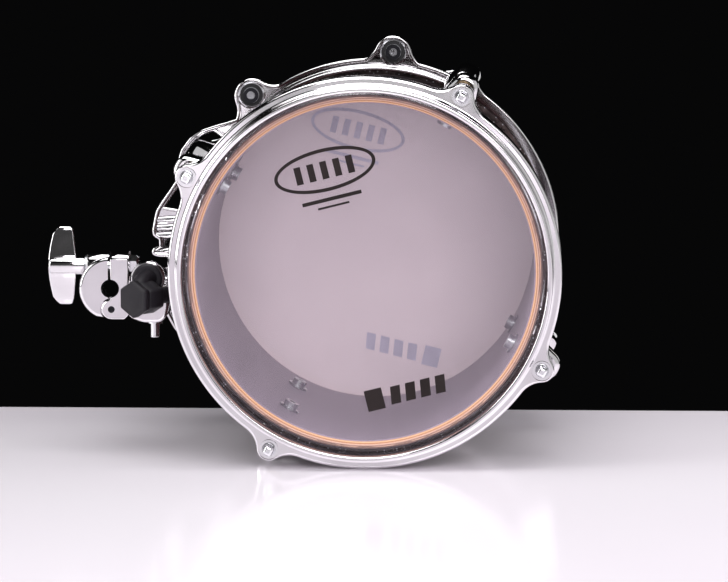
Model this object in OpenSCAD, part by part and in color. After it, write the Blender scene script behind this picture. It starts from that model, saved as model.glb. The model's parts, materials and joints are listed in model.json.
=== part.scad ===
// Small rack tom lying on its side: shell, two heads in die-cast hoops, tension hardware,
// a curved suspension mount on the rear hoop and a hinged clamp for a round rod.
// X is to the right, Y runs along the shell from the front head to the rear head, Z is up.
// The origin is the centre of the rod clamp's bore. All lengths are millimetres.

/* [Shell] */
// Outside diameter of the shell
shell_od = 200; // [198:0.5:202]
// Length of the shell between its bearing edges
shell_depth = 178; // [176:1:184]
// Thickness of the shell wall
shell_wall = 5; // [4:0.5:6]
// Diameter of the vent hole
vent_d = 10; // [8:0.5:12]

/* [Hoops] */
// How far each hoop's rim stands proud of the bearing edge
rim_rise = 14; // [11:0.5:15]
// How far each hoop reaches down past the bearing edge
hoop_drop = 9; // [8.5:0.5:11]
// How far the hoop's flange stands out from the shell
hoop_reach = 10.5; // [10:0.25:11]
// Radius of the concave blend beside each ear
ear_blend = 15; // [10:1:18]
// Radius of each ear's rounded end
ear_r = 6.9; // [6.7:0.1:7.5]

/* [Tension rods] */
// Angle of the first tension rod, anticlockwise from the right
rod_angle = 61.5; // [60:0.5:63]
// Distance of each rod's axis from the shell's surface
rod_offset = 13; // [12.5:0.25:14]
// Diameter of each rod
rod_d = 5.5; // [5:0.1:5.8]
// Distance across the flats of each rod's square drive
drive_size = 5; // [4.5:0.1:5.4]
// Height of each rod's square drive
drive_height = 6; // [5:0.5:7]

/* [Lugs] */
// Length of each lug casing along the shell
lug_length = 34; // [32:1:36]
// Width of each lug casing
lug_width = 20; // [18:1:22]
// Height of each lug casing above the shell
lug_height = 23.5; // [23.5:0.25:25]
// Distance of each lug's screw from its end of the shell
screw_inset = 45; // [44:0.5:46]

/* [Suspension mount] */
// Angle of the mount's right ear
mount_ear_a = 84.5; // [83:0.5:87]
// Angle of the mount's left ear
mount_ear_b = 129.5; // [127:0.5:131]
// Distance of the mount's ears from the shell's surface
mount_offset = 15.7; // [15:0.25:16.5]
// Thickness of the mount along the shell
mount_depth = 12.5; // [11:0.5:13]
// Thickness of the mount's outer strand
strand = 4; // [3:0.25:5]

/* [Rod clamp] */
// Diameter of the rod that the clamp holds
clamp_bore_d = 10.5; // [9.5:0.1:11]
// Length of the clamp's bore
clamp_length = 27; // [25:1:29]
// Diameter of the clamp bolt
clamp_bolt_d = 6; // [5:0.5:6.5]
// Span of the wing nut from tip to tip
wing_span = 45; // [36:1:48]
// Width of the split between the jaws
split = 1.4; // [1.2:0.1:2]
// Radial clearance of every running fit
running = 0.08; // [0.05:0.01:0.1]

/* [View] */
// The node to show

/* [Hidden] */
$fn = 96;
shell_r = shell_od / 2;
inner_r = shell_r - shell_wall;
hoop_r = shell_r + hoop_reach;
rim_r = shell_r + 2;
pocket_r = shell_r + 4.9;
rod_r = rod_d / 2;
rod_circle = shell_r + rod_offset;
ear_front = -3.8;
seat_y = ear_front + 1.2;
lug_y = screw_inset - 18;
mount_circle = shell_r + mount_offset;
mount_y = shell_depth - lug_y + 1.5;
bore = [-147.8, -14.7];
clamp_y = 45;
clamp_mid = clamp_y + clamp_length / 2;
pin = [-147.1, -26.7];
pin_r = 1.95;
bolt_z = -2.7;
barrel_r = 8.2;
bolt_r = clamp_bolt_d / 2;
face_x = -161.8;
stop_x = -137.3;
gap_l = bore[0] - 0.5 - split / 2;
gap_r = bore[0] - 0.5 + split / 2;
jaw_bottom = -32.3;
boss = [-126.2, -8.7];
arm_x = -122.5;
arm_screw_z = [-19, -27];
stud_x = -123.5;
knob = [-133.5, 20, -17.9];
knob_turn = 36;
cap_r = 10.45;

chrome = [0.86, 0.87, 0.89];
black = [0.07, 0.07, 0.08];

// ---------- helpers ----------

// Moves the part so that the origin is the clamp's bore
module at_clamp() {
    translate([-bore[0], -clamp_mid, -bore[1]])
        children();
}

// Extrudes a profile drawn in X and Z from one Y to another
module along_y(y0, y1) {
    translate([0, y1, 0])
        rotate([90, 0, 0])
            linear_extrude(y1 - y0)
                children();
}

// A shaft along Y at a point of the X and Z plane
module shaft_y(p, r, y0, y1) {
    along_y(y0, y1)
        translate(p)
            circle(r);
}

// A shaft along X
module shaft_x(x0, x1, y, z, r, sides = 96) {
    translate([x0, y, z])
        rotate([0, 90, 0])
            cylinder(r = r, h = x1 - x0, $fn = sides);
}

// Turns a profile of [radius, Y] points about the shell's axis
module turned(points) {
    rotate([90, 0, 0])
        rotate_extrude($fn = 180)
            polygon([for (p = points) [p[0], -p[1]]]);
}

// Mirrors a front piece to the rear end
module rear() {
    translate([0, shell_depth, 0])
        mirror([0, 1, 0])
            children();
}

// Turns a piece drawn on the right of the shell round to an angle
module at_angle(a) {
    rotate([0, -a, 0])
        children();
}

// Places a piece at all four lug positions
module at_lugs() {
    for (k = [0:3])
        at_angle(rod_angle + 90 * k)
            children();
}

// An ear with concave blends into a ring of radius base
module ear_outline(distance, radius, base, blend) {
    far = base + blend;
    near = radius + blend;
    fx = (distance * distance + far * far - near * near) / (2 * distance);
    fz = sqrt(far * far - fx * fx);
    k = (base - 2) / far;
    difference() {
        polygon([[distance, 0], [fx, fz], [fx * k, fz * k], [fx * k, -fz * k], [fx, -fz]]);
        for (s = [-1, 1])
            translate([fx, s * fz])
                circle(blend);
    }
    translate([distance, 0])
        circle(radius);
}

// ---------- shell and heads ----------

module shell() {
    color([0.16, 0.05, 0.04])
        difference() {
            turned([[inner_r, 3.4], [shell_r - 2, 0], [shell_r - 1.4, 0], [shell_r - 0.5, 0.7],
                [shell_r, 1.8], [shell_r, shell_depth - 1.8], [shell_r - 0.5, shell_depth - 0.7],
                [shell_r - 1.4, shell_depth], [shell_r - 2, shell_depth],
                [inner_r, shell_depth - 3.4]]);
            at_lugs()
                for (y = [screw_inset, shell_depth - screw_inset])
                    shaft_x(inner_r - 2, shell_r + 2, y, 0, 2.6);
            at_angle(rod_angle - 45)
                shaft_x(inner_r - 2, shell_r + 2, shell_depth / 2, 0, vent_d / 2);
        }
}

module vent_grommet() {
    color([0.86, 0.87, 0.89])
        at_angle(rod_angle - 45)
            translate([0, shell_depth / 2, 0])
                rotate([0, 90, 0])
                    rotate_extrude()
                        polygon([[vent_d / 2 - 1.2, inner_r - 0.6], [vent_d / 2 - 0.1, inner_r - 0.6],
                            [vent_d / 2 - 0.1, shell_r + 0.9], [vent_d / 2 + 2.6, shell_r + 0.9],
                            [vent_d / 2 + 2, shell_r + 1.9], [vent_d / 2 - 1.2, shell_r + 1.9]]);
}

module badge_plate() {
    color([0.5, 0.5, 0.52])
        at_angle(rod_angle - 45)
            difference() {
                intersection() {
                    along_y(shell_depth / 2 - 20, shell_depth / 2 + 20)
                        difference() {
                            circle(shell_r + 0.8);
                            circle(shell_r);
                        }
                    translate([shell_r - 5, shell_depth / 2, 0])
                        rotate([0, 90, 0])
                            cylinder(r = 18, h = 10);
                }
                shaft_x(shell_r - 5, shell_r + 5, shell_depth / 2, 0, vent_d / 2 + 0.1);
            }
}

module head() {
    r = shell_r;
    turned([[0, -0.3], [r - 1.3, -0.3], [r - 0.2, 0.1], [r + 0.9, 1.15], [r + 2.15, 3.2],
        [r + 2.5, 5.3], [r + 2.2, 5.3], [r + 1.85, 3.3], [r + 0.6, 1.4], [r - 0.4, 0.35],
        [r - 1.4, 0], [0, 0]]);
}

module head_front() {
    color([0.8, 0.78, 0.82])
        head();
}

module head_rear() {
    color([0.8, 0.78, 0.82])
        rear()
            head();
}

module flesh_hoop() {
    r = shell_r;
    turned([[r + 0.9, 4.2], [r + 1.6, 4.2], [r + 1.6, 5.3], [r + 2.9, 5.3], [r + 2.9, 2.6],
        [r + 4.5, 2.6], [r + 4.5, 8], [r + 0.9, 8]]);
}

module flesh_hoop_front() {
    color([0.62, 0.63, 0.65])
        flesh_hoop();
}

module flesh_hoop_rear() {
    color([0.62, 0.63, 0.65])
        rear()
            flesh_hoop();
}

// ---------- hoops ----------

module hoop_ear(distance, radius) {
    along_y(ear_front, hoop_drop)
        ear_outline(distance, radius, hoop_r, ear_blend);
}

// A washer seat, cut off straight on its inner side
module ear_seat() {
    along_y(ear_front - 4, seat_y)
        intersection() {
            translate([rod_circle, 0])
                circle(6);
            translate([rod_circle - 5.4, -10])
                square([20, 20]);
        }
    shaft_y([rod_circle, 0], rod_r + 0.6, ear_front - 4, hoop_drop + 1);
}

module hoop() {
    difference() {
        union() {
            turned([[rim_r, 0.8 - rim_rise], [rim_r + 0.6, -rim_rise], [rim_r + 2.4, -rim_rise],
                [rim_r + 3.2, 0.8 - rim_rise], [rim_r + 3.4, -6.5], [hoop_r - 1.1, ear_front],
                [hoop_r, ear_front + 1.4], [hoop_r, hoop_drop - 0.8], [hoop_r - 0.8, hoop_drop],
                [pocket_r, hoop_drop], [pocket_r, 2.6], [rim_r, 2.6]]);
            at_lugs()
                hoop_ear(rod_circle, ear_r);
        }
        at_lugs()
            ear_seat();
    }
}

module hoop_front() {
    color(chrome)
        hoop();
}

module hoop_rear() {
    color(chrome) {
        rear()
            hoop();
        for (a = [mount_ear_a, mount_ear_b])
            at_angle(a)
                difference() {
                    rear()
                        along_y(ear_front, hoop_drop)
                            difference() {
                                ear_outline(mount_circle, 8.4, hoop_r, ear_blend);
                                circle(hoop_r - 1);
                            }
                    shaft_y([mount_circle, 0], 2.5, shell_depth - 20, shell_depth + 20);
                }
    }
}

// ---------- lugs and tension rods ----------

module lug() {
    w = lug_width / 2;
    top = shell_r + lug_height;
    y0 = lug_y;
    y1 = lug_y + lug_length;
    difference() {
        intersection() {
            along_y(y0, y1)
                polygon([[shell_r - 2, -w], [shell_r + 8, -w], [top - 7.5, 1.4 - w], [top - 2, 4 - w],
                    [top, 6.8 - w], [top, w - 6.8], [top - 2, w - 4], [top - 7.5, w - 1.4],
                    [shell_r + 8, w], [shell_r - 2, w]]);
            translate([0, 0, -w - 1])
                linear_extrude(2 * w + 2)
                    polygon([[shell_r - 2, y0], [top - 1.2, y0], [top, y0 + 1.2], [top, y0 + 17],
                        [top - 5.5, y0 + 27], [shell_r + 8, y1 - 0.8], [shell_r + 4, y1],
                        [shell_r - 2, y1]]);
        }
        shaft_y([0, 0], shell_r + 0.8, y0 - 1, y1 + 1);
        shaft_y([rod_circle, 0], 4.8, y0 - 1, y0 + 16);
        shaft_x(shell_r - 1, shell_r + 7.4, screw_inset, 0, 2.5);
    }
}

module lug_front(k) {
    color(chrome)
        at_angle(rod_angle + 90 * k)
            lug();
}

module lug_rear(k) {
    color(chrome)
        at_angle(rod_angle + 90 * k)
            rear()
                lug();
}

module lug_gaskets() {
    color(black)
        at_lugs()
            for (y = [lug_y - 0.6, shell_depth - lug_y - lug_length - 0.6])
                difference() {
                    intersection() {
                        along_y(y, y + lug_length + 1.2)
                            circle(shell_r + 0.8);
                        translate([shell_r - 5, y, -lug_width / 2 - 0.6])
                            cube([10, lug_length + 1.2, lug_width + 1.2]);
                    }
                    shaft_y([0, 0], shell_r, y - 1, y + lug_length + 2);
                    for (s = [screw_inset, shell_depth - screw_inset])
                        shaft_x(shell_r - 2, shell_r + 3, s, 0, 3);
                }
}

module lug_screws() {
    color([0.75, 0.75, 0.77])
        at_lugs()
            for (y = [screw_inset, shell_depth - screw_inset])
                difference() {
                    union() {
                        shaft_x(inner_r - 2, shell_r + 7, y, 0, 2.45);
                        shaft_x(inner_r - 4.6, inner_r - 1.4, y, 0, 4.2);
                    }
                    shaft_x(inner_r - 5, inner_r - 3, y, 0, 2.2, 6);
                }
}

module lug_washers() {
    color([0.7, 0.7, 0.72])
        at_lugs()
            for (y = [screw_inset, shell_depth - screw_inset])
                difference() {
                    shaft_x(inner_r - 1.4, inner_r - 0.3, y, 0, 6);
                    shaft_x(inner_r - 2, inner_r + 1, y, 0, 2.6);
                }
}

module swivel_nuts() {
    color([0.72, 0.66, 0.5])
        at_lugs()
            for (y = [lug_y + 1, shell_depth - lug_y - 15])
                difference() {
                    shaft_y([rod_circle, 0], 4.7, y, y + 14);
                    shaft_y([rod_circle, 0], rod_r + running, y - 1, y + 15);
                }
}

module rod_washers() {
    color([0.8, 0.8, 0.82])
        at_lugs()
            for (y = [seat_y - 1.2, shell_depth - seat_y])
                difference() {
                    shaft_y([rod_circle, 0], 5.2, y, y + 1.2);
                    shaft_y([rod_circle, 0], rod_r + 0.3, y - 1, y + 3);
                }
}

// A tension rod with its flange and square drive, drawn at the front on the right
module tension_rod() {
    y = ear_front - 0.05;
    shaft_y([rod_circle, 0], rod_r, y - 1, lug_y + 13);
    rotate([90, 0, 0])
        translate([rod_circle, 0, 0])
            rotate_extrude()
                polygon([[0, -y], [3.8, -y], [3.8, 0.9 - y], [3.2, 1.6 - y], [0, 1.6 - y]]);
    intersection() {
        along_y(y - 1.5 - drive_height, y - 1)
            translate([rod_circle, 0])
                square(drive_size, center = true);
        rotate([90, 0, 0])
            translate([rod_circle, 0, 0])
                rotate_extrude()
                    polygon([[0, -y], [3.2, -y], [3.2, drive_height + 0.7 - y],
                        [2.2, drive_height + 1.5 - y], [0, drive_height + 1.5 - y]]);
    }
}

module rod_front(k) {
    color(chrome)
        at_angle(rod_angle + 90 * k)
            tension_rod();
}

module rod_rear(k) {
    color(chrome)
        at_angle(rod_angle + 90 * k)
            rear()
                tension_rod();
}

// ---------- suspension mount ----------

// Outer edge of the mount, as distances from the shell's surface at angles round it
EDGE = [[64, 11.8], [138, 11.8], [141, 15.5], [144, 20], [147, 24.8], [150, 27.6], [154, 29],
    [157.5, 28], [161.7, 24.6], [165.5, 27.2], [169, 30.4], [171.5, 32.7], [176.5, 33.8],
    [177.6, 33.4], [178.6, 29.6], [180.6, 29.4], [181.6, 33.6], [182.6, 34.1], [183.2, 29],
    [183.6, 11.8], [186.2, 11.8], [187.4, 32.4], [198, 32.6], [203, 31], [208, 27.5],
    [212, 21.5], [215, 15.5], [218, 11.8]];

function polar(r, a) = [r * cos(a), r * sin(a)];

function edge(a) = shell_r + lookup(a, EDGE);

// The mount's outline
module mount_outline() {
    a0 = 65.7;
    a1 = 216;
    steps = 100;
    difference() {
        union() {
            polygon(concat([for (i = [0:steps]) polar(edge(a0 + (a1 - a0) * i / steps),
                    a0 + (a1 - a0) * i / steps)],
                [for (i = [10:-1:0]) polar(shell_r + 2, a0 + (a1 - a0) * i / 10)]));
            for (a = [mount_ear_a, mount_ear_b])
                rotate(a)
                    ear_outline(mount_circle, 9.9, shell_r + 11.2, 14);
        }
        circle(shell_r + 4, $fn = 180);
        rotate(rod_angle)
            translate([rod_circle, 0])
                circle(9);
        mount_window(144.5, 158.5);
        mount_window(161.5, 170.5);
        mount_window(198.5, 209.5);
    }
}

// A window between the mount's two strands
module mount_window(a0, a1) {
    polygon(concat([for (i = [0:8]) polar(edge(a0 + (a1 - a0) * i / 8) - strand,
            a0 + (a1 - a0) * i / 8)],
        [for (i = [4:-1:0]) polar(shell_r + 9.5, a0 + (a1 - a0) * i / 4)]));
}

module mount_bar() {
    y0 = mount_y;
    y1 = mount_y + mount_depth;
    color(chrome)
        difference() {
            union() {
                along_y(y0, y1)
                    mount_outline();
                for (z = [4.8, 9.5, 14.3])
                    shaft_x(-shell_r - 31, -shell_r - 20, y0 + 1, z, 1.9);
            }
            for (a = [mount_ear_a, mount_ear_b])
                at_angle(a) {
                    shaft_y([mount_circle, 0], 5, y0 - 1, y1 + 1);
                    shaft_y([mount_circle, 0], 8.2, y0 - 1, y0 + 2.5);
                }
            for (z = arm_screw_z)
                shaft_y([arm_x, z], 2.7, y0 - 1, y1 + 1);
        }
}

module mount_grommets() {
    y0 = mount_y;
    y1 = mount_y + mount_depth;
    y2 = shell_depth - hoop_drop;
    color(black)
        for (a = [mount_ear_a, mount_ear_b])
            at_angle(a)
                difference() {
                    union() {
                        shaft_y([mount_circle, 0], 4.9, y0 + 1, y2);
                        shaft_y([mount_circle, 0], 6.8, y0 + 1, y0 + 2.5);
                        shaft_y([mount_circle, 0], 7, y1, y2);
                    }
                    shaft_y([mount_circle, 0], 2.3, y0 - 1, y2 + 1);
                }
}

module mount_studs() {
    color([0.75, 0.75, 0.77])
        for (a = [mount_ear_a, mount_ear_b])
            at_angle(a)
                difference() {
                    shaft_y([mount_circle, 0], 2.25, mount_y - 3.5, shell_depth - ear_front + 1.5);
                    along_y(mount_y - 4, mount_y - 2.5)
                        translate([mount_circle, 0])
                            circle(1.3, $fn = 6);
                }
}

module mount_nuts() {
    color([0.75, 0.75, 0.77])
        for (a = [mount_ear_a, mount_ear_b])
            at_angle(a)
                difference() {
                    union() {
                        along_y(mount_y - 2.2, mount_y + 0.2)
                            translate([mount_circle, 0])
                                circle(4, $fn = 6);
                        shaft_y([mount_circle, 0], 4.7, mount_y + 0.2, mount_y + 1);
                    }
                    shaft_y([mount_circle, 0], 2.3, mount_y - 4, mount_y + 3);
                }
}

// ---------- bracket ----------

module bracket_arm() {
    y0 = clamp_y + 1;
    color(chrome)
        difference() {
            union() {
                shaft_y(boss, 9.7, y0, y0 + 6);
                along_y(y0, y0 + 28)
                    polygon([[stop_x, -18], [stop_x, -30.4], [stop_x + 1.5, -31.8], [-129, -34.3],
                        [-119, -34.3], [-115.5, -31], [-114, -24], [-116, -14], [-130, -14]]);
                along_y(y0 + 20, mount_y)
                    polygon([[-129, -17], [-129, -29], [-127, -31.5], [-118, -31.5],
                        [-115.5, -29], [-115.5, -17], [-118, -14.5], [-127, -14.5]]);
            }
            shaft_y(boss, 3.1, y0 - 1, y0 + 3);
            for (z = arm_screw_z)
                shaft_y([arm_x, z], 2.5, mount_y - 12, mount_y + 1);
            translate([stud_x, clamp_mid + 1.5, -35])
                cylinder(r = 2.7, h = 10);
        }
}

module arm_screws() {
    y1 = mount_y + mount_depth;
    color([0.75, 0.75, 0.77])
        for (z = arm_screw_z)
            difference() {
                union() {
                    shaft_y([arm_x, z], 2.45, mount_y - 11, y1 + 1);
                    shaft_y([arm_x, z], 3.7, y1, y1 + 4);
                }
                along_y(y1 + 2, y1 + 5)
                    translate([arm_x, z])
                        circle(2.2, $fn = 6);
            }
}

module isolator_disc() {
    y0 = clamp_y + 1;
    color(black) {
        rotate([90, 0, 0])
            translate([boss[0], boss[1], 0])
                rotate_extrude()
                    polygon([[0, -y0], [8.6, -y0], [8.6, 4 - y0], [7.6, 5 - y0], [0, 5 - y0]]);
        shaft_y(boss, 3, y0 - 1, y0 + 2.5);
    }
}

// The knob's own axis, which runs towards the shell
module knob_frame() {
    translate(knob)
        rotate([0, 0, -knob_turn])
            rotate([-90, 0, 0])
                children();
}

module isolator_neck() {
    color(black)
        difference() {
            along_y(clamp_y - 16, clamp_y - 4)
                translate([boss[0], 0])
                    polygon([[-5.5, -16], [5, -16], [4, -7], [2, -4], [-2, -4], [-4.5, -7.5]]);
            knob_frame()
                translate([0, 0, -1])
                    cylinder(r = cap_r + 0.1, h = 32);
        }
}

module hex_knob() {
    color(black)
        knob_frame() {
            intersection() {
                rotate(90)
                    cylinder(r = cap_r, h = 4.4, $fn = 6);
                rotate_extrude()
                    polygon([[0, 0], [cap_r - 1.2, 0], [cap_r, 1.2], [cap_r, 4.4], [0, 4.4]]);
            }
            cylinder(r = 7.6, h = 7);
            translate([0, 0, 6.4])
                rotate(90)
                    cylinder(r = cap_r - 1.3, h = 10, $fn = 6);
        }
}

module cone_bush() {
    color(black)
        difference() {
            knob_frame()
                rotate_extrude()
                    polygon([[0, 16.4], [6.6, 16.4], [6.3, 20], [4.8, 26], [4.7, 31], [0, 31]]);
            shaft_y(boss, 8.9, clamp_y - 4.3, clamp_y + 10);
            translate([boss[0] - 5, clamp_y + 0.7, knob[2] - 10])
                cube([30, 20, 20]);
        }
}

module bracket_stud() {
    color(chrome)
        translate([stud_x, clamp_mid + 1.5, 0])
            rotate_extrude()
                polygon([[0, -44.4], [2.1, -44.4], [2.65, -43.9], [2.65, -36.3], [4.25, -36.2],
                    [4.25, -34.4], [2.65, -34.4], [2.65, -26], [0, -26]]);
}

// ---------- rod clamp ----------

// The clamp's upper barrel, which the bolt runs through
module barrel(x0, x1) {
    shaft_x(x0, x1, clamp_mid, bolt_z, barrel_r);
}

module fixed_jaw() {
    y0 = clamp_y;
    y1 = clamp_y + clamp_length;
    color(chrome)
        difference() {
            union() {
                along_y(y0, y1)
                    polygon([[gap_r, -23], [gap_r, 1.7], [gap_r + 0.8, 2.5], [stop_x - 0.8, 2.5],
                        [stop_x, 1.7], [stop_x, -30.4], [stop_x - 1.5, jaw_bottom],
                        [pin[0], jaw_bottom], [pin[0], -23]]);
                shaft_y(pin, 5.6, y0, y1);
                barrel(gap_r, stop_x);
            }
            shaft_y(bore, clamp_bore_d / 2, y0 - 1, y1 + 1);
            shaft_y(pin, pin_r + 0.02, y0 - 1, y1 + 1);
            shaft_y(pin, 5.8, clamp_mid - 5.5, clamp_mid + 5.5);
            translate([pin[0] - 12, clamp_mid - 5.5, pin[1] - 6])
                cube([12, 11, 6]);
            shaft_x(gap_r - 1, stop_x + 1, clamp_mid, bolt_z, bolt_r + 0.2);
        }
}

// The hinged jaw's outline: nearly round about the bore, with a flat face for the wing nut
module jaw_outline() {
    intersection() {
        union() {
            polygon([for (a = [140:5:255]) bore + polar(17.8 + max(0, a - 215) * 0.04, a)]);
            translate([face_x, bore[1]])
                square([20, 16.4]);
            translate([face_x + 0.8, bore[1]])
                square([20, 17.2]);
            translate([bore[0] - 12, jaw_bottom])
                square([12, 20]);
        }
        translate([face_x - 5, jaw_bottom])
            square([gap_l - face_x + 5, 40]);
    }
}

module hinged_jaw() {
    y0 = clamp_y;
    y1 = clamp_y + clamp_length;
    color(chrome)
        difference() {
            union() {
                along_y(y0, y1)
                    jaw_outline();
                shaft_y(pin, 5.3, clamp_mid - 5.3, clamp_mid + 5.3);
                barrel(face_x, gap_l);
            }
            shaft_x(face_x - 6, face_x, clamp_mid, bolt_z, 6.5);
            shaft_y(bore, clamp_bore_d / 2, y0 - 1, y1 + 1);
            shaft_y(pin, pin_r + running, y0 - 1, y1 + 1);
            shaft_y(pin, 6.1, y0 - 1, clamp_mid - 5.3);
            shaft_y(pin, 6.1, clamp_mid + 5.3, y1 + 1);
            along_y(y0 - 1, y1 + 1)
                translate([bore[0] - 5.8, jaw_bottom - 5])
                    square([20, 5.4]);
            for (z = [0, 2.4])
                shaft_x(face_x - 1, gap_l + 1, clamp_mid, bolt_z + z, bolt_r + 0.3);
            translate([face_x - 1, clamp_mid - bolt_r - 0.3, bolt_z])
                cube([gap_l - face_x + 2, 2 * bolt_r + 0.6, 2.4]);
        }
}

module hinge_pin() {
    color([0.6, 0.6, 0.62])
        shaft_y(pin, pin_r, clamp_y + 2.5, clamp_y + clamp_length - 0.5);
}

module clamp_bolt() {
    color([0.8, 0.8, 0.82]) {
        shaft_x(-176, stop_x + 1, clamp_mid, bolt_z, bolt_r);
        intersection() {
            shaft_x(stop_x, stop_x + 5, clamp_mid, bolt_z, 6, 6);
            translate([stop_x, clamp_mid, bolt_z])
                rotate([0, 90, 0])
                    rotate_extrude()
                        polygon([[0, 0], [6, 0], [6, 3.6], [4.6, 5], [0, 5]]);
        }
    }
}

module clamp_washer() {
    color([0.7, 0.7, 0.72])
        difference() {
            shaft_x(face_x - 1.3, face_x - 0.05, clamp_mid, bolt_z, 5.8);
            shaft_x(face_x - 2, face_x + 1, clamp_mid, bolt_z, bolt_r + running);
        }
}

// The wing nut's two blades, thick at the hub and thin at the tips
module blades(x) {
    w = wing_span / 2;
    intersection() {
        translate([x, 0, bolt_z])
            along_y(clamp_mid - 5, clamp_mid + 5)
                for (side = [0, 1])
                    mirror([0, side])
                        polygon([[-5.3, 0], [-5.5, 7], [-6.9, w - 1.4], [-8.2, w], [-14.8, w],
                            [-18.6, w - 3.4], [-21.2, 6], [-21.2, 0]]);
        translate([x - 25, clamp_mid, bolt_z])
            rotate([90, 0, 90])
                linear_extrude(25)
                    polygon([[-3.6, 0], [-1.5, w], [1.5, w], [3.6, 0], [1.5, -w], [-1.5, -w]]);
    }
}

module wing_nut() {
    x = face_x - 1.35;
    color(chrome)
        difference() {
            union() {
                shaft_x(x - 21, x, clamp_mid, bolt_z, 5.3);
                blades(x);
            }
            shaft_x(x - 30, x + 1, clamp_mid, bolt_z, bolt_r + running);
        }
}

// ---------- assembly ----------

at_clamp() {
    shell();
    vent_grommet();
    badge_plate();
    head_front();
    head_rear();
    flesh_hoop_front();
    flesh_hoop_rear();
    hoop_front();
    hoop_rear();
    lug_front(0);  // lug_front_1
    lug_front(1);  // lug_front_2
    lug_front(2);  // lug_front_3
    lug_front(3);  // lug_front_4
    lug_rear(0);  // lug_rear_1
    lug_rear(1);  // lug_rear_2
    lug_rear(2);  // lug_rear_3
    lug_rear(3);  // lug_rear_4
    lug_gaskets();
    lug_screws();
    lug_washers();
    swivel_nuts();
    rod_washers();
    rod_front(0);  // rod_front_1
    rod_front(1);  // rod_front_2
    rod_front(2);  // rod_front_3
    rod_front(3);  // rod_front_4
    rod_rear(0);  // rod_rear_1
    rod_rear(1);  // rod_rear_2
    rod_rear(2);  // rod_rear_3
    rod_rear(3);  // rod_rear_4
    mount_bar();
    mount_grommets();
    mount_studs();
    mount_nuts();
    bracket_arm();
    arm_screws();
    isolator_disc();
    isolator_neck();
    hex_knob();
    cone_bush();
    bracket_stud();
    fixed_jaw();
    hinged_jaw();
    hinge_pin();
    clamp_bolt();
    clamp_washer();
    wing_nut();
}
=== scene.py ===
"""A small rack tom lying on its side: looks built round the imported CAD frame.

Shapes are drawn in millimetres right of, behind and above the centre of the front bearing edge,
and on_drum() turns them into metres in the shared frame.
"""

import json
import math

import bmesh
import bpy
from mathutils import Euler, Matrix, Vector

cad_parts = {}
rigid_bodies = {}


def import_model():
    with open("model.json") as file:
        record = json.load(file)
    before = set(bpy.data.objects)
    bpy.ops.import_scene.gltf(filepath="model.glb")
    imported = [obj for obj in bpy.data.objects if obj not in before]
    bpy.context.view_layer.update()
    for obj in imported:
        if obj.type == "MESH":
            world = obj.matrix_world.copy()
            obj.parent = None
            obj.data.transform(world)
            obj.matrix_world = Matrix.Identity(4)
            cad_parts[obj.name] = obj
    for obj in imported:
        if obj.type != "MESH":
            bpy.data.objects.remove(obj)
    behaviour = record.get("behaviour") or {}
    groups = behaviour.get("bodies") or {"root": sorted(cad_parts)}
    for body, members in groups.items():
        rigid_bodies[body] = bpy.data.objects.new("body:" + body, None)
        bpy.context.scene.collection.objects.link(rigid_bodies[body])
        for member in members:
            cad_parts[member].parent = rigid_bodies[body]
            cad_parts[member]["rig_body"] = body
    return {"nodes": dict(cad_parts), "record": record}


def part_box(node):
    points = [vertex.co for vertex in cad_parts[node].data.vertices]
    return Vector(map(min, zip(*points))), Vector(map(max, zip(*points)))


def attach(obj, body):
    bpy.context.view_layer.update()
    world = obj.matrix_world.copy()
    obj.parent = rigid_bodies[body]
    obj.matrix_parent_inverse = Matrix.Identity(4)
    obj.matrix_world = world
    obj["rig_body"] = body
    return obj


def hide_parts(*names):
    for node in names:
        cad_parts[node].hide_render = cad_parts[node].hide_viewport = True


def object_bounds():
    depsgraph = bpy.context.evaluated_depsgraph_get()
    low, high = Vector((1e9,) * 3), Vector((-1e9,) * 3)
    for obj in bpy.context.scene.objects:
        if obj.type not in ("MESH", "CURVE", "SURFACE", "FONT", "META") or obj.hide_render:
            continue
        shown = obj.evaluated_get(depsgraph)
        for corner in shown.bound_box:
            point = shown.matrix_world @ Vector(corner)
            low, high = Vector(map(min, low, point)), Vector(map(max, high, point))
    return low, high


MM = 0.001
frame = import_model()
cad_box = [list(corner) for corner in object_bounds()]
nodes = frame["nodes"]

# ---------- places taken from the frame ----------

shell_low, shell_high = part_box("shell")
AXIS_X = (shell_low.x + shell_high.x) / 2
AXIS_Z = (shell_low.z + shell_high.z) / 2
FRONT_Y = shell_low.y
REAR_Y = shell_high.y
FLOOR_Z = cad_box[0][2]
SHELL_R = (shell_high.x - shell_low.x) / 2 / MM


def on_drum(x, y, z):
    """A point given in millimetres right of, behind and above the front bearing edge's centre."""
    return Vector((AXIS_X + x * MM, FRONT_Y + y * MM, AXIS_Z + z * MM))


def from_frame(point):
    """A point of the frame in millimetres from the front bearing edge's centre."""
    return Vector(((point[0] - AXIS_X) / MM, (point[1] - FRONT_Y) / MM, (point[2] - AXIS_Z) / MM))


def span(node):
    """A CAD node's lowest and highest corners in millimetres."""
    low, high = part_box(node)
    return from_frame(low), from_frame(high)


def joint_at(name):
    """A joint's place in millimetres."""
    joints = frame["record"]["behaviour"]["joints"]
    return from_frame(next(joint["pos_m"] for joint in joints if joint["name"] == name))


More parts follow.
